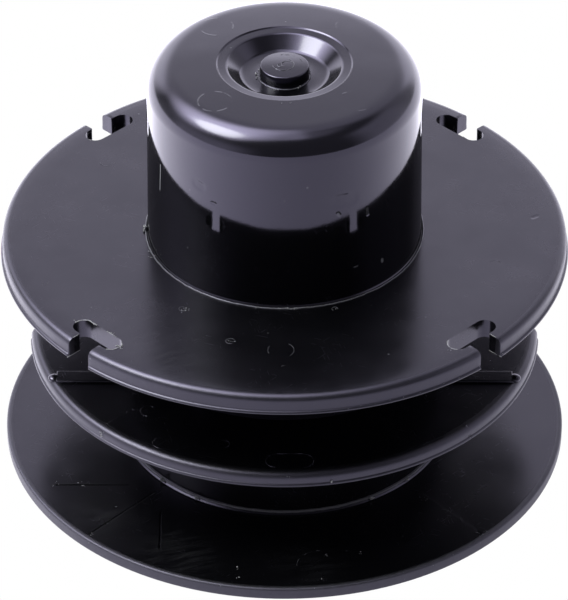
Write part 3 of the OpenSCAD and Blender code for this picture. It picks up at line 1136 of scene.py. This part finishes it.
def torn_flash():
    """All that is torn and pale; the crumbs draw on one chance, so their order counts."""
    bm = bmesh.new()
    slot_flash(bm)
    roughen(bm, 0.08, 2.5)
    end = slot_run + slot_half
    crumbs(bm, at_slot(225, slot_out - 0.2, end, knob_z), (0.5, 0.5, 0.05), 12, 0.28)
    crumbs(bm, at_slot(225, slot_out - slot_half, 1.5, knob_z), (0.5, 0.5, 0.05), 8, 0.2)
    crumbs(bm, at_slot(225, slot_out, -end, knob_z), (0.4, 0.4, 0.05), 6, 0.22)
    crumbs(bm, at_slot(315, slot_out, -end - 0.5, knob_z), (0.4, 0.4, 0.03), 6, 0.16)
    crumbs(bm, (-foot_r - 0.1, -0.6, knob_z + 0.3), (0.15, 0.8, 0.25), 16, 0.5)
    crumbs(bm, (-20.6, -7.5, knob_z + 0.1), (0.8, 1.5, 0.05), 12, 0.2)
    crumbs(bm, (0.6, -foot_r, knob_z + 0.1), (1.6, 0.12, 0.1), 14, 0.26)
    crumbs(bm, (-3.9, -21.7, knob_z + 0.1), (0.7, 0.1, 0.1), 5, 0.22)
    for x, y, across, along, flat, count, size in (
        (-15.3, -22.3, 0.6, 0.8, 0.03, 9, 0.2), (-7.9, -30.6, 0.7, 0.5, 0.02, 5, 0.14),
        (-2.5, -28.3, 0.1, 0.1, 0.02, 2, 0.16), (-0.2, -36.7, 0.3, 0.1, 0.02, 3, 0.16),
        (8.1, -21.9, 0.4, 0.2, 0.02, 3, 0.14), (-38.0, 2.7, 0.2, 0.3, 0.02, 3, 0.16),
        (-37.2, -15.3, 0.7, 0.5, 0.02, 7, 0.15),
    ):
        crumbs(bm, (x, y, knob_z), (across, along, flat), count, size)
    crumbs(bm, (-1.3, -4.1, dish_z + 0.15), (0.35, 0.2, 0.1), 5, 0.3)
    for turn, count in ((-172, 4), (172, 5), (158, 3), (42, 4), (28, 4), (14, 3), (-12, 2), (-60, 3)):
        crumbs(bm, polar(stud_r + 0.35, turn, dish_z + 0.12), (0.35, 0.35, 0.1), count, 0.22)
    crumbs_round(bm, range(-150, -30, 6), lower_r - 0.3, lower_t - 0.12, (0.9, 0.25, 0.06), 2, 0.15)
    crumbs(bm, (0.3, -11.3, crown_level(11.3)), (0.8, 0.05, 0.02), 4, 0.14)
    drum_foot = (-137, -121.4, -58.6, -42.5)
    crumbs_round(bm, drum_foot, core_r + 0.6, lower_t + 0.55, (0.3, 0.3, 0.25), 5, 0.5)
    crumbs_round(bm, [-134.4], divider_r - 0.35, divider_z + 1.3, (0.5, 0.5, 0.5), 12, 0.28)
    crumbs_round(bm, [-90], divider_r - 0.4, divider_top - 0.6, (0.9, 0.08, 0.15), 9, 0.16)
    crumbs_round(bm, [-80], divider_r - 0.1, divider_z + 0.7, (0.3, 0.05, 0.2), 3, 0.26)
    crumbs_round(bm, range(-78, -38, 3), upper_r - 0.1, upper_z + 0.55, (0.3, 0.1, 0.12), 1, 0.14)
    crumbs_round(bm, range(-140, -96, 6), upper_r - 0.1, upper_z + 0.5, (0.3, 0.1, 0.12), 1, 0.1)
    crumbs_round(bm, [-91], upper_r - 0.9, knob_z - 0.35, (0.3, 0.1, 0.05), 3, 0.16)
    for x, y in ((-7.4, -39.9), (-7.2, -42.3), (11.8, -36.1), (6.4, -36.6), (5.8, -42.6), (30.4, -31.0)):
        crumbs(bm, (x, y, lower_t), (0.25, 0.3, 0.02), 3, 0.2)
    for turn, out in ((-45.3, 31.5), (-45.1, 44.2), (-134, 43.6), (-153, 41.0), (-150, 37.5)):
        crumbs(bm, polar(out, turn, lower_t), (0.7, 0.7, 0.02), 5, 0.18)
    return bm


piece("torn_flash", torn_flash(), torn_pale)

# %% [markdown]
# ## Floor, world and lamps
# The reel stands on a white sheet in a white tent. Black gloss shows its room more
# than its own colour, so the tent matters as much as the plastic. It is brightest at
# the left and behind, fades with height, and is open in front, where the room is dim.
# That dim opening draws the dark line under each bright edge. To the camera itself
# the floor and the world are plain white all round.

# %% How bright the tent is, by direction
dim_room = 0.18
tent_tint = (0.98, 0.96, 1.09, 1)
kept_when_mirrored_again = 0.35

# Each panel: its middle's turn to the right of the front, half width, how soft its sides
# are, lowest and highest elevation, how soft these are, and how bright it is. Angles are
# in degrees, and a later panel hangs in front of the earlier ones.
panels = {
    "back wall": (180, 46, 10, -90, 32, 10, 2.5),
    "back above": (180, 56, 16, 32, 90, 10, 1.1),
    "right wall": (94, 28, 14, -90, 45, 7, 1.0),
    "right corner": (126, 8, 8, 4, 44, 8, 0.75),
    "left wall": (-72, 38, 20, -90, 24, 14, 1.2),
    "left corner": (-148, 14, 10, 10, 26, 8, 2.8),
    "left gap": (-108, 12, 8, -90, 16, 6, 0.5),
    "ceiling right": (60, 60, 30, 66, 90, 6, 0.8),
}


def painted(tree, direction, elevation):
    """Brightness of the tent in a direction; elevation is in radians."""
    flat = vectors(tree, "NORMALIZE", vectors(tree, "MULTIPLY", direction, (1, 1, 0)))
    level = dim_room
    for turn, half, side_soft, foot, top, end_soft, brightness in panels.values():
        turn = math.radians(turn)
        middle = (math.sin(turn), -math.cos(turn), 0)
        aside = maths(tree, "ARCCOSINE", vectors(tree, "DOT_PRODUCT", flat, middle))
        across = smooth_band(tree, aside, math.radians(half - side_soft), math.radians(half + side_soft))
        height = math.radians((foot + top) / 2)
        reach = math.radians((top - foot) / 2)
        fade = math.radians(end_soft)
        off = maths(tree, "ABSOLUTE", maths(tree, "SUBTRACT", elevation, height))
        upright = smooth_band(tree, off, reach - fade, reach + fade)
        level = mix_value(tree, maths(tree, "MULTIPLY", across, upright), level, brightness)
    return level


def glow_round(tree, direction, towards, inner, outer, brightness):
    """Brightness that spills round a lamp: full within inner degrees of it, none past outer."""
    cosine = vectors(tree, "DOT_PRODUCT", direction, Vector(towards).normalized())
    away = maths(tree, "ARCCOSINE", cosine)
    spill = smooth_band(tree, away, math.radians(inner), math.radians(outer))
    return maths(tree, "MULTIPLY", spill, brightness)


def to_the_eye(tree, ray):
    """1 where a surface is seen straight or through glass."""
    return maths(tree, "MAXIMUM", ray["Is Camera Ray"], ray["Is Transmission Ray"])


def in_gloss(tree, ray, plain, mirrored):
    """Colour and strength of a glow: white and plain, but tinted and mirrored in a gloss.

    What a second surface mirrors again keeps only a part of its strength.
    """
    glossy = ray["Is Glossy Ray"]
    again = maths(tree, "GREATER_THAN", ray["Glossy Depth"], 1.5)
    kept = mix_value(tree, again, 1.0, kept_when_mirrored_again)
    mirrored = maths(tree, "MULTIPLY", mirrored, kept)
    colour = mix_colour(tree, glossy, (1, 1, 1, 1), tent_tint)
    return {"Color": colour, "Strength": mix_value(tree, glossy, plain, mirrored)}


# %% Floor
sheet_light = 2.35
sheet_slant = (-0.55, 0.95, 0)


def white_floor():
    """Plain white to the eye, lit more from one side in a gloss, and matt to all other light."""
    material, tree, surface = new_material("floor_white")
    ray = add(tree, "LightPath").outputs
    towards = vectors(tree, "NORMALIZE", add(tree, "TexCoord").outputs["Object"])
    mirrored = maths(tree, "ADD", vectors(tree, "DOT_PRODUCT", towards, sheet_slant), sheet_light)
    glow = add(tree, "Emission", **in_gloss(tree, ray, 1.0, mirrored))
    matt = add(tree, "BsdfDiffuse", Color=(0.8, 0.8, 0.8, 1))
    share = maths(tree, "MAXIMUM", to_the_eye(tree, ray), ray["Is Glossy Ray"])
    mix = add(tree, "MixShader", i0=share, i1=matt.outputs[0], i2=glow.outputs[0])
    tree.links.new(mix.outputs[0], surface)
    return material


floor_bm = bmesh.new()
bmesh.ops.create_grid(floor_bm, x_segments=1, y_segments=1, size=6.0)
floor = new_object("floor", floor_bm)
floor.data.materials.append(white_floor())

# %% World
world = bpy.data.worlds.new("tent")
bpy.context.scene.world = world
world.use_nodes = True
tent = world.node_tree
tent.nodes.clear()
ambient = 0.45
glow_towards = (-0.539, 0.076, 0.839)
ray = add(tent, "LightPath").outputs
direction = add(tent, "TexCoord").outputs["Generated"]
elevation = maths(tent, "ARCSINE", add(tent, "SeparateXYZ", Vector=direction).outputs[2])
spill = glow_round(tent, direction, glow_towards, 10, 38, 8.0)
mirrored = maths(tent, "ADD", painted(tent, direction, elevation), spill)
plain = mix_value(tent, to_the_eye(tent, ray), ambient, 1.0)
glow = add(tent, "Background", **in_gloss(tent, ray, plain, mirrored))
tent.links.new(glow.outputs[0], add(tent, "OutputWorld").inputs["Surface"])
print("world:", world.name, len(tent.nodes), "nodes")


# %% Lamps
def soft_lamp(name, shape, direction, distance, width, height, brightness, colour=(1, 1, 1)):
    """A flat lamp that faces the reel; brightness is how many times white it looks."""
    data = bpy.data.lights.new(name, "AREA")
    data.color = colour
    data.shape = shape
    data.size = width
    data.size_y = height
    data.energy = brightness * math.pi * width * height
    lamp = bpy.data.objects.new(name, data)
    bpy.context.scene.collection.objects.link(lamp)
    away = Vector(direction).normalized()
    lamp.location = away * distance + Vector((0, 0, 0.04))
    lamp.rotation_euler = away.to_track_quat("Z", "Y").to_euler()


softbox_towards = (-0.575, -0.122, 0.809)
overhead_towards = (-0.34, -0.08, 0.94)
soft_lamp("left_softbox", "ELLIPSE", softbox_towards, 0.9, 0.5, 0.47, 8.0, (1.11, 1.20, 0.93))
soft_lamp("overhead", "RECTANGLE", overhead_towards, 0.95, 0.8, 1.0, 1.7, (0.98, 0.96, 1.08))
print("lamps:", [light.name for light in bpy.data.lights])

bpy.context.scene.view_settings.view_transform = "Standard"
